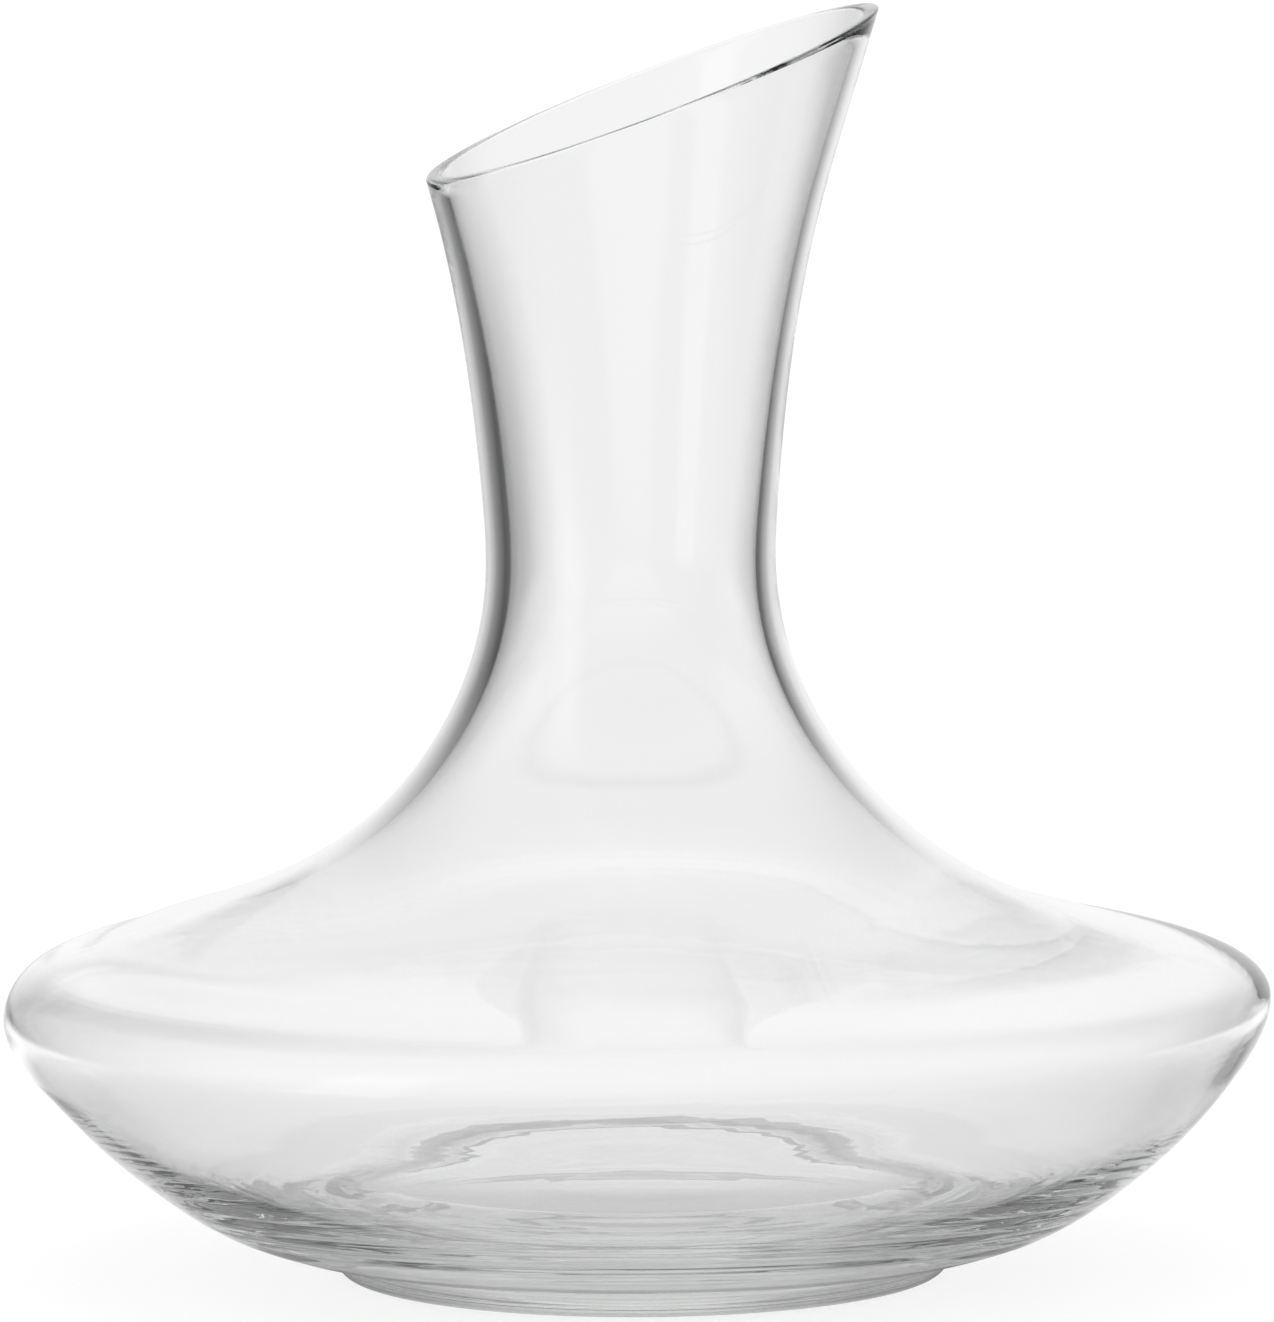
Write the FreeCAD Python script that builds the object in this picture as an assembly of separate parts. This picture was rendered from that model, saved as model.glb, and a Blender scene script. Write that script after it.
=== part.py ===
"""Slant-mouth wine decanter, mouth-blown in clear glass.

Two pieces of glass, joined hot:
  vessel  the blown body: bowl, shoulder and flared neck in one wall, cut off at a slant at the mouth
  foot    a disc of glass applied under the vessel, with a ground standing ring

Frame: +Z up, origin on the table under the centre of the foot. The high side of the mouth is towards +X.
Units: millimetres.
"""

import math
import os

import FreeCAD
import Part

V = FreeCAD.Vector

# Driving dimensions
BODY_RADIUS = 110.0  # widest part of the bowl
MOUTH_HEIGHT = 204.6  # height of the slanted cut where it crosses the axis
MOUTH_SLANT = 20.5  # degrees from level
RIM_ROUND = 0.6  # fire-polished rounding of the cut edge
FLOOR_HEIGHT = 14.6  # inside floor above the table, at the axis

# Foot
FOOT_RADIUS = 53.3
FOOT_HEIGHT = 4.0
FOOT_TOP_ROUND = 1.0
FOOT_BOTTOM_ROUND = 2.7  # the ground ring that touches the table starts inside this round
RING_INNER = 46.0
UNDERSIDE_HOLLOW = 0.8  # hollow of the underside at the edge of the pontil mark
PONTIL_RADIUS = 20.0  # polished dimple where the pontil rod was broken off
PONTIL_DEPTH = 1.0

# The outer wall from its seat on the foot to past the mouth. Each stretch is one face of the glass.
# A station is (radius, height, wall thickness measured square to the wall).
# Below the first station with a thickness the glass is solid down to the foot.
SEAT_RADIUS = 48.0
UNDERSIDE = [(SEAT_RADIUS, FOOT_HEIGHT), (61.5, 5.5), (73.2, 8.9)]
FLANK = [(84.0, 15.5, 2.9), (95.5, 25.2, 2.0), (104.0, 34.6, 1.8)]
BULGE = [(109.0, 42.0, 1.7), (BODY_RADIUS, 47.6, 1.6), (107.2, 52.3, 1.5)]
SHOULDER = [(99.6, 56.0, 1.4), (83.0, 60.4, 1.6), (67.3, 65.8, 2.2), (53.6, 73.4, 2.9), (42.4, 83.0, 3.2)]
NECK = [(33.5, 95.0, 3.6), (27.8, 107.8, 3.9), (25.3, 121.0, 3.9), (25.7, 136.0, 3.7), (28.3, 160.0, 3.2),
        (33.3, 185.5, 2.7), (39.6, 207.0, 2.4), (46.0, 228.0, 2.2)]
WALL = FLANK + BULGE + SHOULDER + NECK

# The inside floor under the lowest station: a disc over the foot, slightly proud of the ring around it.
FLOOR = [(0.0, FLOOR_HEIGHT), (44.0, 14.8), (51.0, 14.6), (57.0, 13.2), (66.0, 12.6), (75.0, 14.0)]


def point(radius, height):
    return V(radius, 0, height)


def line(start, end):
    return Part.LineSegment(point(*start), point(*end)).toShape()


def arc(start, middle, end):
    return Part.Arc(point(*start), point(*middle), point(*end)).toShape()


def quarter_round(start, end, centre):
    """A quarter of a circle round a centre, both ends the same distance from it."""
    radius = max(abs(start[0] - centre[0]), abs(start[1] - centre[1]))
    out = (start[0] + end[0] - 2 * centre[0], start[1] + end[1] - 2 * centre[1])
    middle = tuple(c + o / abs(o) * radius * math.sqrt(0.5) for c, o in zip(centre, out))
    return arc(start, middle, end)


def spline(points, start_direction):
    """A smooth curve through (radius, height) points that leaves the first one in a given direction."""
    last = point(*points[-1]) - point(*points[-2])
    curve = Part.BSplineCurve()
    curve.interpolate(
        Points=[point(*p) for p in points],
        InitialTangent=point(*start_direction),
        FinalTangent=last,
    )
    return curve


def stretches(curve, ends):
    """The curve as a run of edges that meet at the given (radius, height) points."""
    at = [curve.parameter(point(*p)) for p in ends]
    return [curve.toShape(a, b) for a, b in zip(at, at[1:])]


def solid_of_revolution(edges):
    face = Part.Face(Part.Wire(Part.__sortEdges__(edges)))
    return face.revolve(V(0, 0, 0), V(0, 0, 1), 360)


def inner_wall(outer):
    """The wall's stations moved inwards, square to the outer wall, by the thickness there."""
    points = []
    for radius, height, wall in WALL:
        along = outer.tangent(outer.parameter(point(radius, height)))[0]
        points.append((radius - wall * along.z, height + wall * along.x))
    return points


def stretch_starts(first):
    """Where each stretch of a wall starts in its list of points, and where the last one ends."""
    counts = [len(part) for part in (first, FLANK, BULGE, SHOULDER, NECK)]
    return [0, *(sum(counts[:i]) for i in range(1, len(counts))), sum(counts) - 1]


def make_vessel():
    outer_points = UNDERSIDE + [station[:2] for station in WALL]
    outer = spline(outer_points, (1, 0.05))
    inner_points = FLOOR + inner_wall(outer)
    inner = spline(inner_points, (1, 0))
    outer_ends = [outer_points[i] for i in stretch_starts(UNDERSIDE)]
    inner_ends = [inner_points[i] for i in stretch_starts(FLOOR)]
    shell = solid_of_revolution([
        line((0, FOOT_HEIGHT), outer_points[0]),
        *stretches(outer, outer_ends),
        line(outer_points[-1], inner_points[-1]),
        *stretches(inner, inner_ends),
        line(FLOOR[0], (0, FOOT_HEIGHT)),
    ])
    cut = shell.cut(above_mouth()).Solids[0]
    return cut.makeFillet(RIM_ROUND, mouth_edges(cut))


def above_mouth():
    """Everything above the slanted cut, as a tilted block."""
    side = 3 * BODY_RADIUS
    block = Part.makeBox(side, side, side, V(-side / 2, -side / 2, 0))
    block.rotate(V(0, 0, 0), V(0, 1, 0), -MOUTH_SLANT)
    block.translate(V(0, 0, MOUTH_HEIGHT))
    return block


def mouth_edges(vessel):
    """The inner and outer edges of the slanted cut."""
    flat = [f for f in vessel.Faces if isinstance(f.Surface, Part.Plane) and f.CenterOfMass.z > MOUTH_HEIGHT / 2]
    return flat[0].Edges


def make_foot():
    """The applied disc: rounded rim, ground ring underneath, hollow inside the ring and the pontil's dimple."""
    dimple_top = UNDERSIDE_HOLLOW + PONTIL_DEPTH
    dimple_side = (0.5 * PONTIL_RADIUS, dimple_top - 0.3 * PONTIL_DEPTH)
    dimple = spline([(0, dimple_top), dimple_side, (PONTIL_RADIUS, UNDERSIDE_HOLLOW)], (1, 0))
    upper_turn = (FOOT_RADIUS, FOOT_HEIGHT - FOOT_TOP_ROUND)
    lower_turn = (FOOT_RADIUS, FOOT_BOTTOM_ROUND)
    top_edge = (FOOT_RADIUS - FOOT_TOP_ROUND, FOOT_HEIGHT)
    ring_edge = (FOOT_RADIUS - FOOT_BOTTOM_ROUND, 0)
    return solid_of_revolution([
        line((0, FOOT_HEIGHT), top_edge),
        quarter_round(top_edge, upper_turn, (top_edge[0], upper_turn[1])),
        line(upper_turn, lower_turn),
        quarter_round(lower_turn, ring_edge, (ring_edge[0], lower_turn[1])),
        line(ring_edge, (RING_INNER, 0)),
        line((RING_INNER, 0), (PONTIL_RADIUS, UNDERSIDE_HOLLOW)),
        dimple.toShape(),
        line((0, dimple_top), (0, FOOT_HEIGHT)),
    ])


def main():
    os.makedirs("parts", exist_ok=True)
    make_vessel().exportStep("parts/vessel.step")
    make_foot().exportStep("parts/foot.step")


main()
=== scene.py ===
"""Looks of the slant-mouth wine decanter: mouth-blown clear glass on a plain white table.

The two pieces of glass are turned from the same stations as the CAD model. The vessel is then given what
the blower's hands left: a neck that leans a little, a shoulder that tilts and sags, a bore off its centre,
and fine turning rings round the base of the bowl.
"""

import math

import bpy
import numpy as np
from mathutils import Euler, Matrix


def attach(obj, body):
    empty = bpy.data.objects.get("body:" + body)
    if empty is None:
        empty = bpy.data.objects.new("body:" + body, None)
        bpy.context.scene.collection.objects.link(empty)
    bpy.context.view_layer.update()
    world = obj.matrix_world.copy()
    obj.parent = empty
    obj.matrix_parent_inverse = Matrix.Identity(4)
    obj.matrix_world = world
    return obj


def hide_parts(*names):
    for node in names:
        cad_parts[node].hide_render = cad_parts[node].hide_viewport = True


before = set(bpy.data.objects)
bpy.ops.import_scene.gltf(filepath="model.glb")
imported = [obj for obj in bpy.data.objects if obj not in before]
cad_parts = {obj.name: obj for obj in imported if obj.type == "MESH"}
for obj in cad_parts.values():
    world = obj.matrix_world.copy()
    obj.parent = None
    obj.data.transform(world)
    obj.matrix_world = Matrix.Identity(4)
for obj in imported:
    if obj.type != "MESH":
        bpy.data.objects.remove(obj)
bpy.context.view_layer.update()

# ---------------------------------------------------------------- shape, in millimetres
MM = 0.001
FOOT_HEIGHT = 4.0
MOUTH_HEIGHT = 204.6  # where the slanted cut crosses the axis
MOUTH_SLANT = math.radians(20.5)
RIM_ROUND = 0.7  # rounding of the two edges of the cut
RIM_STEPS = 6
SEGMENTS = 240  # steps round the axis
VESSEL_DISC = (8.0, 20.0, 32.0, 42.0, 46.0)  # radii of the mesh's rings where the vessel meets the foot

# The outer wall as (radius, height, wall thickness square to the wall), from the foot to past the mouth.
UNDERSIDE = [(48.0, FOOT_HEIGHT), (61.5, 5.5), (73.2, 8.9)]
WALL = [
    (84.0, 15.5, 2.9), (95.5, 25.2, 2.0), (104.0, 34.6, 1.8),
    (109.0, 42.0, 1.7), (110.0, 47.6, 1.6), (107.2, 52.3, 1.5),
    (99.6, 56.0, 1.4), (83.0, 60.4, 1.6), (67.3, 65.8, 2.2), (53.6, 73.4, 2.9), (42.4, 83.0, 3.2),
    (33.5, 95.0, 3.6), (27.8, 107.8, 3.9), (25.3, 121.0, 3.9), (25.7, 136.0, 3.7), (28.3, 160.0, 3.2),
    (33.3, 185.5, 2.7), (39.6, 207.0, 2.4), (46.0, 228.0, 2.2),
]
# The inside floor, below the lowest station of the wall.
FLOOR = [(0.0, 14.6), (44.0, 14.8), (51.0, 14.6), (57.0, 13.2), (66.0, 12.6), (75.0, 14.0)]

# The foot
FOOT_RADIUS = 53.3
FOOT_TOP_ROUND = 1.0
FOOT_BOTTOM_ROUND = 2.7
FOOT_DISC = (8.0, 20.0, 32.0, 42.0, 48.0)  # radii of the mesh's rings on the foot's top
STANDING_RING = (49.0, 47.5, 46.6)  # radii of the mesh's rings on the flat that it stands on
RING_INNER = 46.0
RING_EDGE = 0.02  # how far the flat's inner edge is eased
UNDERSIDE_HOLLOW = 0.8
PONTIL_RADIUS = 20.0
PONTIL_DEPTH = 1.0
OVERLAP = 0.03  # the foot reaches this far into the vessel, so that no air film shows between them
TOP_STEPS = 8
BOTTOM_STEPS = 14
HOLLOW_STEPS = 12
PONTIL_STEPS = 14

# How far apart the mesh's rings lie, as (distance along the wall, spacing): close at the turning rings.
OUTER_SPACING = [(0, 0.55), (48, 0.6), (60, 1.3), (105, 1.3), (125, 2.8), (330, 2.8)]
INNER_SPACING = [(0, 3.0), (30, 1.6), (45, 1.0), (85, 1.0), (95, 1.6), (150, 1.6), (170, 3.0), (420, 3.0)]

# What the blower's hands left, in millimetres and degrees.
NECK_LEAN, LEAN_HEIGHT = 2.0, 100  # drift towards -X, and the height over which it comes in
BORE_SHIFT, BORE_HEIGHT, BORE_REACH = 0.45, 155, 45  # the bore's drift towards +X, at its most at this height
EDGE_TILT, EDGE_HEIGHT, EDGE_REACH = 0.85, 45, 10  # the bowl's widest ring stands higher at +X
SHOULDER_TILT, SHOULDER_HEIGHT, SHOULDER_REACH = 0.9, 65, 12  # and the shoulder above it lower
SAG, SAG_RADIUS, SAG_REACH = 1.3, 97, 8  # the shoulder's edge sags on its +X and -X sides
SAG_ABOVE, SAG_FADE = 51, 1.5

# Turning rings: depth, then the distances along the wall where they start and end, each with how softly.
OUTER_RINGS = {"depth": 0.030, "start": 4, "start_fade": 1.5, "end": 38, "end_fade": 3}
INNER_RINGS = {"depth": 0.045, "start": 40, "start_fade": 4, "end": 76, "end_fade": 4}
# How the rings wander round the axis, as (waves in a turn, amount, phase).
WANDER = [(1, 0.9, 0.7), (3, 0.5, 2.0)]
# Each wave of the turning rings as (wavelength in millimetres, phase, how it follows the wander, share).
RING_WAVES = [(3.1, 0.0, 1.0, 0.35), (4.7, 1.3, -0.8, 0.55), (7.9, 0.4, 0.6, 0.6)]


class Curve:
    """A smooth curve through (radius, height) points, with a parameter that runs with its length."""

    def __init__(self, points, start_slope):
        self.p = np.array(points, float)
        self.t = np.concatenate([[0], np.cumsum(np.hypot(*np.diff(self.p, axis=0).T))])
        h = np.diff(self.t)
        n = len(self.t)
        a = np.zeros((n, n))
        b = np.zeros((n, 2))
        for i in range(1, n - 1):
            a[i, i - 1 : i + 2] = h[i - 1], 2 * (h[i - 1] + h[i]), h[i]
            b[i] = 6 * ((self.p[i + 1] - self.p[i]) / h[i] - (self.p[i] - self.p[i - 1]) / h[i - 1])
        a[-1, -1] = 1
        a[0, :2] = 2 * h[0], h[0]
        b[0] = 6 * ((self.p[1] - self.p[0]) / h[0] - np.array(start_slope))
        self.m = np.linalg.solve(a, b)

    def at(self, t):
        t = np.asarray(t, float)
        i = np.clip(np.searchsorted(self.t, t, side="right") - 1, 0, len(self.t) - 2)
        h = self.t[i + 1] - self.t[i]
        a = ((self.t[i + 1] - t) / h)[..., None]
        b = ((t - self.t[i]) / h)[..., None]
        bend = (a**3 - a) * self.m[i] + (b**3 - b) * self.m[i + 1]
        return a * self.p[i] + b * self.p[i + 1] + bend * (h * h / 6)[..., None]

    def direction(self, t):
        d = self.at(np.asarray(t) + 0.01) - self.at(np.asarray(t) - 0.01)
        return d / np.linalg.norm(d, axis=-1, keepdims=True)

    @property
    def length(self):
        return self.t[-1]


def inner_wall(outer):
    """The wall's stations moved inwards, square to the outer wall, by the thickness there."""
    points = []
    for k, (r, z, wall) in enumerate(WALL):
        along = outer.direction(outer.t[len(UNDERSIDE) + k])
        points.append((r - wall * along[1], z + wall * along[0]))
    return points


def cut_length(curve, azimuth):
    """How far up a wall the slanted cut lies, at an azimuth, found by halving."""
    lean = math.tan(MOUTH_SLANT) * math.cos(azimuth)
    low, high = 0.6 * curve.length, curve.length
    for _ in range(40):
        mid = (low + high) / 2
        r, z = curve.at(mid)
        low, high = (mid, high) if z - lean * r < MOUTH_HEIGHT else (low, mid)
    return low


def ring_places(length, spacing):
    """Places along a wall of a given length, as shares of it from 0 to 1, at the spacing asked for."""
    places = [0.0]
    while places[-1] < length:
        places.append(places[-1] + float(np.interp(places[-1], *zip(*spacing))))
    return np.array(places) / places[-1]


# ---------------------------------------------------------------- the blower's hand
def swell(x, centre, width):
    """A smooth bump of height 1."""
    return np.exp(-(((x - centre) / width) ** 2))


def rings_of(distance, azimuths):
    """Turning rings, as a sum of waves along the wall that wander a little round the axis."""
    wander = sum(amount * np.sin(waves * azimuths + phase) for waves, amount, phase in WANDER)
    height = 0
    for wavelength, phase, follow, share in RING_WAVES:
        height = height + share * np.sin(2 * math.pi * distance / wavelength + phase + follow * wander)
    return height


def hand_blown(points, inside):
    """Points in millimetres, moved as the glass sagged and drifted while it was hot."""
    x, y, z = points.T
    r = np.hypot(x, y)
    sideways = (x / np.maximum(r, 1)) ** 2
    tilt = np.radians(EDGE_TILT * swell(z, EDGE_HEIGHT, EDGE_REACH)
                      - SHOULDER_TILT * swell(z, SHOULDER_HEIGHT, SHOULDER_REACH))
    above = 1 / (1 + np.exp(-(z - SAG_ABOVE) / SAG_FADE))
    dz = x * tilt - SAG * sideways * swell(r, SAG_RADIUS, SAG_REACH) * above
    dx = -NECK_LEAN * (1 - np.exp(-z / LEAN_HEIGHT))
    if inside:
        dx += BORE_SHIFT * swell(z, BORE_HEIGHT, BORE_REACH)
    return np.stack([x + dx, y, z + dz], axis=1)


def turned(points, azimuths, inside=False, blown=True):
    """(radius, height) points, one per azimuth, set out round the axis, in metres."""
    r = points[:, 0]
    xyz = np.stack([r * np.cos(azimuths), r * np.sin(azimuths), points[:, 1]], axis=1)
    if blown:
        xyz = hand_blown(xyz, inside)
    return xyz * MM


def with_rings(curve, distance, azimuths, rings, side):
    """A ring of a wall, moved along its normal by the turning rings, which fade in and out along the wall."""
    p = curve.at(distance)
    fade_in = 1 / (1 + np.exp(-(distance - rings["start"]) / rings["start_fade"]))
    fade_out = 1 + np.exp((distance - rings["end"]) / rings["end_fade"])
    along = curve.direction(distance)
    normal = np.stack([along[:, 1], -along[:, 0]], axis=1)
    depth = side * rings["depth"] * (fade_in / fade_out)
    return p + normal * (depth * rings_of(distance, azimuths))[:, None]


# ---------------------------------------------------------------- meshes
def rings_mesh(name, rings, tip_low, tip_high):
    """A closed mesh from rings of points, with each end drawn together to a point on the axis."""
    count = len(rings[0])
    verts = [tuple(v) for ring in rings for v in ring] + [tip_low, tip_high]
    low, high = len(verts) - 2, len(verts) - 1
    top = (len(rings) - 1) * count
    faces = []
    for i in range(count):
        j = (i + 1) % count
        faces += [(k + i, k + j, k + count + j, k + count + i) for k in range(0, top, count)]
        faces.append((j, i, low))
        faces.append((top + i, top + j, high))
    mesh = bpy.data.meshes.new(name)
    mesh.from_pydata(verts, [], faces)
    mesh.validate()
    mesh.shade_smooth()
    obj = bpy.data.objects.new(name, mesh)
    bpy.context.scene.collection.objects.link(obj)
    return obj


def make_vessel():
    """Bowl, shoulder and neck: one closed wall of glass, up the outside, over the rim and down the inside."""
    outer = Curve([*UNDERSIDE, *[(r, z) for r, z, _ in WALL]], start_slope=(1, 0.05))
    inner = Curve([*FLOOR, *inner_wall(outer)], start_slope=(1, 0))
    azimuths = np.linspace(0, 2 * math.pi, SEGMENTS, endpoint=False)
    outer_top = np.array([cut_length(outer, a) for a in azimuths]) - RIM_ROUND
    inner_top = np.array([cut_length(inner, a) for a in azimuths]) - RIM_ROUND
    rings = []
    for r in VESSEL_DISC:
        rings.append(turned(np.tile([r, FOOT_HEIGHT], (SEGMENTS, 1)), azimuths))
    for s in ring_places(outer_top.mean(), OUTER_SPACING):
        ring = with_rings(outer, s * outer_top, azimuths, OUTER_RINGS, 1)
        rings.append(turned(ring, azimuths))
    # the cut: two rounded edges with a flat between
    across = inner.at(inner_top + RIM_ROUND) - outer.at(outer_top + RIM_ROUND)
    across /= np.linalg.norm(across, axis=1, keepdims=True)
    turn = np.linspace(0, math.pi / 2, RIM_STEPS + 1)[1:]
    for s in turn:
        over = outer.direction(outer_top) * math.sin(s) + across * (1 - math.cos(s))
        rings.append(turned(outer.at(outer_top) + RIM_ROUND * over, azimuths))
    for s in turn[::-1]:
        over = inner.direction(inner_top) * math.sin(s) - across * (1 - math.cos(s))
        rings.append(turned(inner.at(inner_top) + RIM_ROUND * over, azimuths, inside=True))
    for s in ring_places(inner_top.mean(), INNER_SPACING)[:0:-1]:
        ring = with_rings(inner, s * inner_top, azimuths, INNER_RINGS, -1)
        rings.append(turned(ring, azimuths, inside=True))
    return rings_mesh("vessel_glass", rings, (0, 0, FOOT_HEIGHT * MM), (0, 0, FLOOR[0][1] * MM))


def make_foot():
    """The foot, from the middle of its top round its edge to the pontil dimple underneath."""
    top = FOOT_HEIGHT + OVERLAP
    outline = [(r, top) for r in FOOT_DISC]
    for s in np.linspace(0, math.pi / 2, TOP_STEPS):
        r = FOOT_RADIUS - FOOT_TOP_ROUND * (1 - math.sin(s))
        outline.append((r, top - FOOT_TOP_ROUND * (1 - math.cos(s))))
    for s in np.linspace(0, math.pi / 2, BOTTOM_STEPS):
        r = FOOT_RADIUS - FOOT_BOTTOM_ROUND * (1 - math.cos(s))
        outline.append((r, FOOT_BOTTOM_ROUND * (1 - math.sin(s))))
    outline += [(r, 0.0) for r in STANDING_RING]
    outline.append((RING_INNER, RING_EDGE))
    for r in np.linspace(RING_INNER - 1, PONTIL_RADIUS, HOLLOW_STEPS):
        outline.append((r, UNDERSIDE_HOLLOW * (RING_INNER - r) / (RING_INNER - PONTIL_RADIUS)))
    for r in np.linspace(PONTIL_RADIUS, 1.0, PONTIL_STEPS)[1:]:
        outline.append((r, UNDERSIDE_HOLLOW + PONTIL_DEPTH * (1 - (r / PONTIL_RADIUS) ** 2)))
    azimuths = np.linspace(0, 2 * math.pi, SEGMENTS, endpoint=False)
    rings = [turned(np.tile(p, (SEGMENTS, 1)), azimuths, blown=False) for p in outline]
    obj = rings_mesh("foot_glass", rings, (0, 0, top * MM), (0, 0, (UNDERSIDE_HOLLOW + PONTIL_DEPTH) * MM))
    obj.data.flip_normals()
    return obj


# ---------------------------------------------------------------- materials
IOR = 1.52
TINT = (0.866, 0.874, 0.870, 1)
TINT_DENSITY = 9.0  # per metre
WAVE_SCALE, WAVE_STRETCH, WAVE_DEPTH = 45.0, 4, 0.00005  # faint waves in the skin, drawn out round the axis
SMEAR_SCALE, SMEAR_ROUGHNESS = 120.0, 0.02  # faint smears in the polish
SMEAR_START, SMEAR_FULL = 0.45, 0.8  # over this range of the noise


def noise(tree, vector, scale, detail, distortion=0.0):
    """Procedural noise over the glass, from 0 to 1."""
    node = tree.nodes.new("ShaderNodeTexNoise")
    node.inputs["Scale"].default_value = scale
    node.inputs["Detail"].default_value = detail
    node.inputs["Distortion"].default_value = distortion
    tree.links.new(vector, node.inputs["Vector"])
    return node.outputs["Fac"]


def glass_material():
    """Clear glass with a slight tint in its thickness, and faint waves and smears on its skin."""
    mat = bpy.data.materials.new("clear_glass")
    mat.use_nodes = True
    tree = mat.node_tree
    nodes, links = tree.nodes, tree.links
    shader = nodes["Principled BSDF"]
    shader.inputs["Base Color"].default_value = (1, 1, 1, 1)
    shader.inputs["IOR"].default_value = IOR
    shader.inputs["Transmission Weight"].default_value = 1.0
    place = nodes.new("ShaderNodeTexCoord").outputs["Object"]
    drawn_out = nodes.new("ShaderNodeMapping")
    drawn_out.inputs["Scale"].default_value = (1, 1, WAVE_STRETCH)
    links.new(place, drawn_out.inputs["Vector"])
    skin = nodes.new("ShaderNodeBump")
    skin.inputs["Strength"].default_value = 0.25
    skin.inputs["Distance"].default_value = WAVE_DEPTH
    links.new(noise(tree, drawn_out.outputs[0], WAVE_SCALE, 2.0, distortion=0.6), skin.inputs["Height"])
    links.new(skin.outputs[0], shader.inputs["Normal"])
    polish = nodes.new("ShaderNodeMapRange")
    polish.inputs["From Min"].default_value = SMEAR_START
    polish.inputs["From Max"].default_value = SMEAR_FULL
    polish.inputs["To Min"].default_value = 0.0
    polish.inputs["To Max"].default_value = SMEAR_ROUGHNESS
    links.new(noise(tree, place, SMEAR_SCALE, 4.0), polish.inputs["Value"])
    links.new(polish.outputs[0], shader.inputs["Roughness"])
    tint = nodes.new("ShaderNodeVolumeAbsorption")
    tint.inputs["Color"].default_value = TINT
    tint.inputs["Density"].default_value = TINT_DENSITY
    links.new(tint.outputs[0], nodes["Material Output"].inputs["Volume"])
    return mat


# ---------------------------------------------------------------- studio
def ramp(nodes, stops):
    """A colour ramp of greys through (position, brightness) stops."""
    node = nodes.new("ShaderNodeValToRGB")
    elements = node.color_ramp.elements
    while len(elements) > 1:
        elements.remove(elements[-1])
    elements[0].position = stops[0][0]
    elements[0].color = (stops[0][1],) * 3 + (1,)
    for position, value in stops[1:]:
        e = elements.new(position)
        e.color = (value,) * 3 + (1,)
    return node


def math_node(tree, operation, a, b=None, c=None):
    """A Math node's output, for inputs that are numbers or sockets."""
    node = tree.nodes.new("ShaderNodeMath")
    node.operation = operation
    for socket, value in zip(node.inputs, (a, b, c)):
        if value is None:
            continue
        if isinstance(value, (int, float)):
            socket.default_value = value
        else:
            tree.links.new(value, socket)
    return node.outputs[0]


# What the glass sees round it, as (azimuth in degrees, brightness): 0 is +X, 90 is behind the decanter.
RIGHT_CARD = [(0, 0.50), (30, 0.08), (45, 0.12), (60, 0.52)]
BACKDROP = [(68, 0.82), (80, 0.94), (97, 0.94), (106, 0.60)]
LEFT_CARD = [(118, 0.25), (135, 0.06), (145, 0.12), (155, 0.34), (180, 0.57)]
LAMP = [(205, 0.72), (210, 1.20), (224, 1.20), (230, 0.62)]
FRONT_WALL = [(300, 0.50)]
STUDIO = RIGHT_CARD + BACKDROP + LEFT_CARD + LAMP + FRONT_WALL
STUDIO_RANGE = 2.0  # the ramp stores these brightnesses divided by this, to stay within 0 to 1
CARD_LEAN = 7 / 360  # how far round the right card's top leans, in turns
CARD_TOP = 0.2  # height above the horizon, as a sine, at which it has leant that far

# The same studio upwards, by the sine of the height (the horizon is 0): how much of the round brightness is
# left, and the brightness of the ceiling added to it.
WALLS_UPWARDS = [(0.10, 1.0), (0.3, 0.86), (0.5, 0.80), (0.85, 0.15)]
CEILING = [(0.10, 0.0), (0.3, 0.11), (0.5, 0.14), (0.85, 0.27)]
PLAIN_SKY = 1.25  # what the camera and the floor see

# The floor as the glass sees it, glowing with painted light and shade, by distance from the axis in metres:
# painted shade under the bowl, a painted contact shadow in a dark ring round the foot, and a bright pool of
# painted light that fades out further away.
FLOOR_NEAR = [
    (0.0, 0.76), (0.046, 0.76), (0.049, 0.28), (0.054, 0.28), (0.060, 0.76),
    (0.08, 0.78), (0.11, 0.92), (0.20, 1.04), (0.38, 1.04), (0.55, 0.0),
]
FLOOR_FAR = [(0.38, 0.0), (0.55, 1.0)]  # share of the round brightness that takes over further out
FLOOR_ORIGIN = 0.5  # where y = 0 lies on the ramps along y, which can't start under 0
FLOOR_FRONT = [(0.36, 0.80), (0.42, 0.52), (0.49, 0.52), (0.53, 1.0)]  # a darker strip of painted shade in the floor's glow in front, along y
SIDE_DARKENING_ACROSS = [(0.095, 0.0), (0.125, 1.0)]  # the floor's painted glow is darker on both sides, by distance sideways
SIDE_DARKENING_ALONG = [(0.58, 0.38), (0.64, 0.0)]  # how dark that painted darkening is, along y
FLOOR_SIZE = 16.0  # metres from the decanter to each edge
FLOOR_DROP = 0.0002  # below the foot, so that the two never meet
PAPER = 0.24  # the plain floor's own grey, which takes the soft shadow
PAPER_GLOW = 0.8  # and the light that lifts it to white


def azimuth_brightness(tree, vector_socket):
    """The studio's brightness for a direction or a place, from its azimuth, and the split coordinates."""
    split = tree.nodes.new("ShaderNodeSeparateXYZ")
    tree.links.new(vector_socket, split.inputs[0])
    angle = math_node(tree, "ARCTAN2", split.outputs[1], split.outputs[0])
    rise = math_node(tree, "MAXIMUM", math_node(tree, "MINIMUM", split.outputs[2], CARD_TOP), 0.0)
    rise = math_node(tree, "MULTIPLY", rise, math_node(tree, "GREATER_THAN", split.outputs[0], 0.0))
    lean = math_node(tree, "MULTIPLY_ADD", rise, -CARD_LEAN / CARD_TOP, 1.0)
    turn = math_node(tree, "MULTIPLY_ADD", angle, 0.5 / math.pi, lean)
    turn = math_node(tree, "FRACT", turn)
    stops = ramp(tree.nodes, [(azimuth / 360, level / STUDIO_RANGE) for azimuth, level in STUDIO])
    tree.links.new(turn, stops.inputs[0])
    return math_node(tree, "MULTIPLY", stops.outputs[0], STUDIO_RANGE), split


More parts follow.
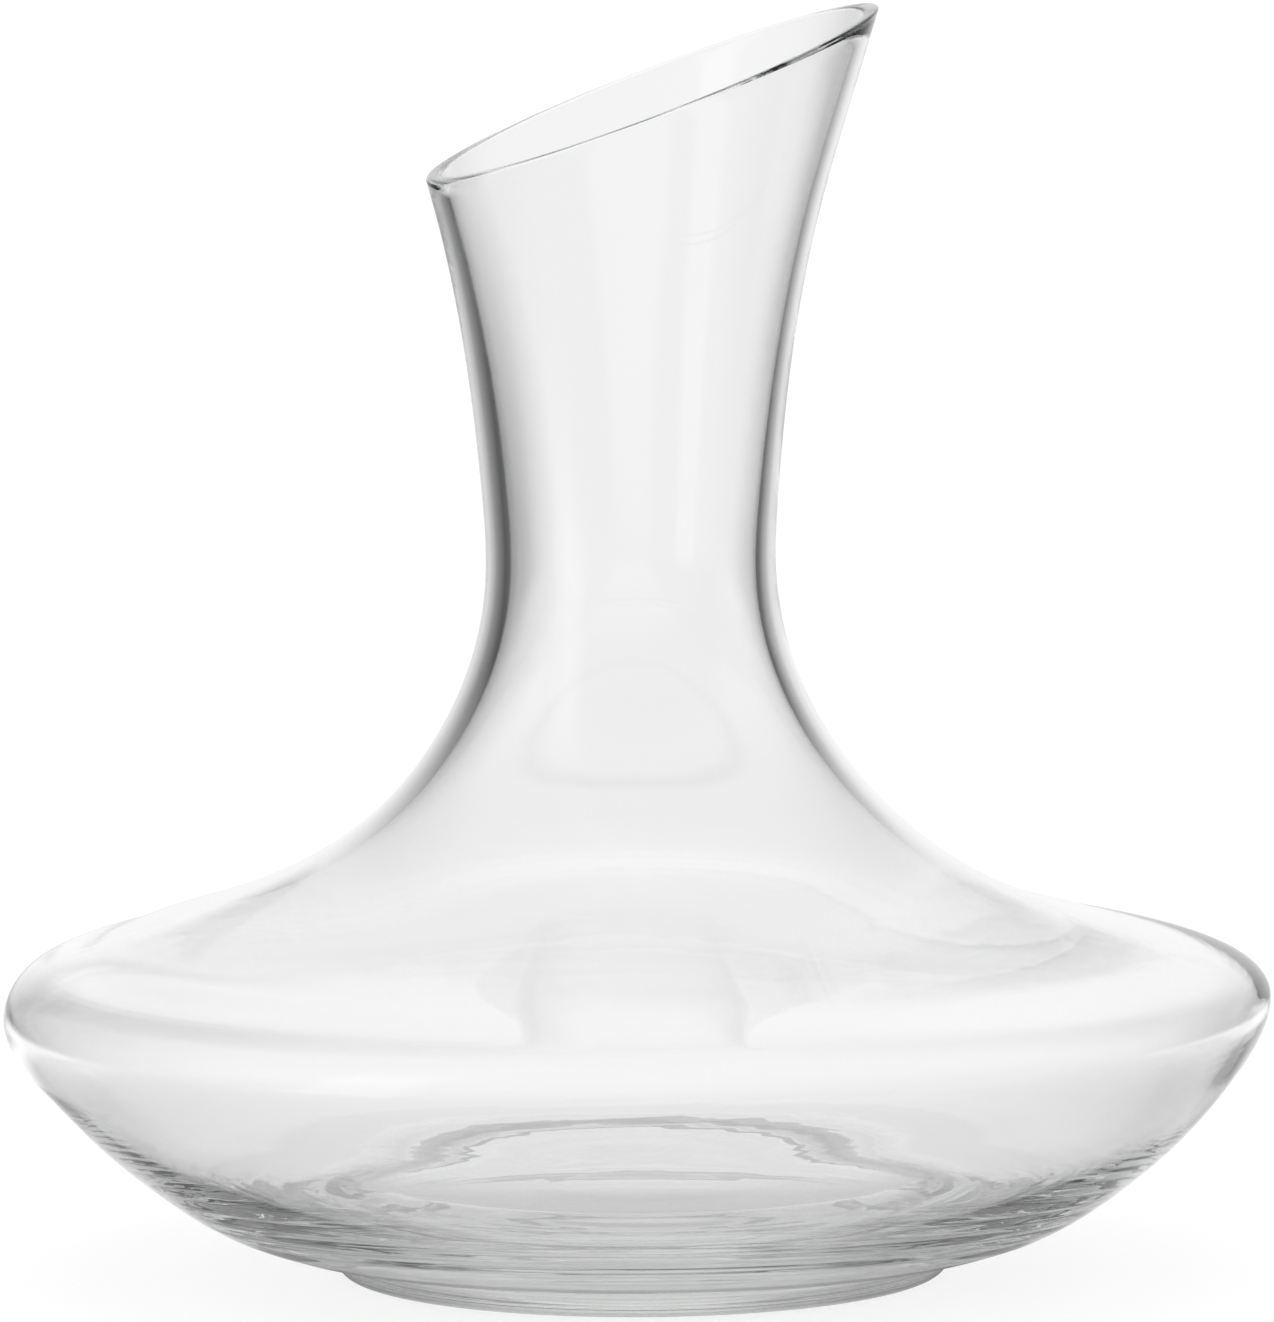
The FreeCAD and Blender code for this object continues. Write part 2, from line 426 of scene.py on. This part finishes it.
def seen_by_glass(tree):
    """1 for rays that reach the studio straight from the glass, 0 for the camera's and the floor's own."""
    path = tree.nodes.new("ShaderNodeLightPath")
    own = math_node(tree, "MAXIMUM", path.outputs["Is Camera Ray"], path.outputs["Is Diffuse Ray"])
    bounced = math_node(tree, "GREATER_THAN", path.outputs["Diffuse Depth"], 0.5)
    return math_node(tree, "SUBTRACT", 1.0, math_node(tree, "MAXIMUM", own, bounced))


def ramped(tree, value, stops):
    """A value looked up in a ramp."""
    node = ramp(tree.nodes, stops)
    tree.links.new(value, node.inputs[0])
    return node.outputs[0]


def make_floor():
    """Plain white paper to the camera; to the glass, a floor that glows with painted light and shade, graded
    as set out above.
    """
    size = FLOOR_SIZE
    corners = [(-size, -size, 0), (size, -size, 0), (size, size, 0), (-size, size, 0)]
    mesh = bpy.data.meshes.new("studio_floor")
    mesh.from_pydata(corners, [], [(0, 1, 2, 3)])
    floor = bpy.data.objects.new("studio_floor", mesh)
    bpy.context.scene.collection.objects.link(floor)
    floor.location.z = -FLOOR_DROP
    mat = bpy.data.materials.new("floor_with_painted_light")
    mat.use_nodes = True
    tree = mat.node_tree
    tree.nodes.remove(tree.nodes["Principled BSDF"])
    place = tree.nodes.new("ShaderNodeNewGeometry").outputs["Position"]
    level, split = azimuth_brightness(tree, place)
    x_squared = math_node(tree, "POWER", split.outputs[0], 2.0)
    y_squared = math_node(tree, "POWER", split.outputs[1], 2.0)
    radius = math_node(tree, "SQRT", math_node(tree, "ADD", x_squared, y_squared))
    sideways = math_node(tree, "ABSOLUTE", split.outputs[0])
    along = math_node(tree, "ADD", split.outputs[1], FLOOR_ORIGIN)
    # What the glass sees of the floor near the decanter: a glow with painted light and shade, times the
    # darker strip in front
    close = math_node(tree, "MULTIPLY", ramped(tree, radius, FLOOR_NEAR), ramped(tree, along, FLOOR_FRONT))
    # painted darkening of the floor's glow on both sides
    side_darkening = math_node(tree, "MULTIPLY", ramped(tree, sideways, SIDE_DARKENING_ACROSS), ramped(tree, along, SIDE_DARKENING_ALONG))
    close = math_node(tree, "MULTIPLY", close, math_node(tree, "SUBTRACT", 1.0, side_darkening))
    seen = math_node(tree, "MULTIPLY_ADD", level, ramped(tree, radius, FLOOR_FAR), close)
    glow = tree.nodes.new("ShaderNodeEmission")
    tree.links.new(seen, glow.inputs["Strength"])
    paper = tree.nodes.new("ShaderNodeBsdfPrincipled")
    paper.inputs["Base Color"].default_value = (PAPER, PAPER, PAPER, 1)
    paper.inputs["Roughness"].default_value = 1.0
    paper.inputs["Specular IOR Level"].default_value = 0.0
    paper.inputs["Emission Color"].default_value = (1, 1, 1, 1)
    paper.inputs["Emission Strength"].default_value = PAPER_GLOW
    mix = tree.nodes.new("ShaderNodeMixShader")
    tree.links.new(seen_by_glass(tree), mix.inputs[0])
    tree.links.new(paper.outputs[0], mix.inputs[1])
    tree.links.new(glow.outputs[0], mix.inputs[2])
    tree.links.new(mix.outputs[0], tree.nodes["Material Output"].inputs["Surface"])
    mesh.materials.append(mat)


def make_world():
    """Plain white to the camera, the graded studio to the glass."""
    world = bpy.data.worlds.new("studio")
    bpy.context.scene.world = world
    world.use_nodes = True
    tree = world.node_tree
    direction = tree.nodes.new("ShaderNodeTexCoord").outputs["Generated"]
    level, split = azimuth_brightness(tree, direction)
    upwards = split.outputs[2]
    walls = ramped(tree, upwards, WALLS_UPWARDS)
    graded = math_node(tree, "MULTIPLY_ADD", level, walls, ramped(tree, upwards, CEILING))
    from_glass = seen_by_glass(tree)
    plain = math_node(tree, "MULTIPLY", math_node(tree, "SUBTRACT", 1.0, from_glass), PLAIN_SKY)
    back = tree.nodes["Background"]
    back.inputs["Color"].default_value = (1, 1, 1, 1)
    tree.links.new(math_node(tree, "MULTIPLY_ADD", graded, from_glass, plain), back.inputs["Strength"])


# ---------------------------------------------------------------- camera
CAMERA_DISTANCE = 4.4595
CAMERA_HEIGHT = 0.7174
CAMERA_SIDE = -0.00045
CAMERA_PITCH = math.radians(7.795)  # looking down
CAMERA_ROLL = math.radians(-0.32)
FIELD_OF_VIEW = math.radians(2.9164)  # over the height of the picture
SENSOR = 36.0  # millimetres


def make_camera():
    """A camera in front of the decanter, a little above it."""
    data = bpy.data.cameras.new("camera")
    cam = bpy.data.objects.new("camera", data)
    bpy.context.scene.collection.objects.link(cam)
    cam.location = (CAMERA_SIDE, -CAMERA_DISTANCE, CAMERA_HEIGHT)
    aim = Euler((math.pi / 2 - CAMERA_PITCH, 0, 0)).to_matrix()
    cam.rotation_euler = (aim @ Matrix.Rotation(CAMERA_ROLL, 3, "Z")).to_euler()
    data.sensor_fit = "VERTICAL"
    data.sensor_height = SENSOR
    data.lens = SENSOR / 2 / math.tan(FIELD_OF_VIEW / 2)
    data.clip_start = 0.1
    data.clip_end = 60.0
    bpy.context.scene.camera = cam


make_camera()
make_world()
make_floor()
vessel = make_vessel()
foot = make_foot()
glass = glass_material()
for piece, node in ((vessel, "vessel"), (foot, "foot")):
    piece.data.materials.append(glass)
    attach(piece, "root")
    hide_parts(node)

GLASS_BOUNCES = 64  # light runs round inside the base many times before it leaves
scene = bpy.context.scene
scene.view_settings.view_transform = "Standard"
scene.cycles.max_bounces = GLASS_BOUNCES
scene.cycles.transmission_bounces = GLASS_BOUNCES
scene.cycles.glossy_bounces = GLASS_BOUNCES
scene.cycles.diffuse_bounces = 2
scene.cycles.use_denoising = True
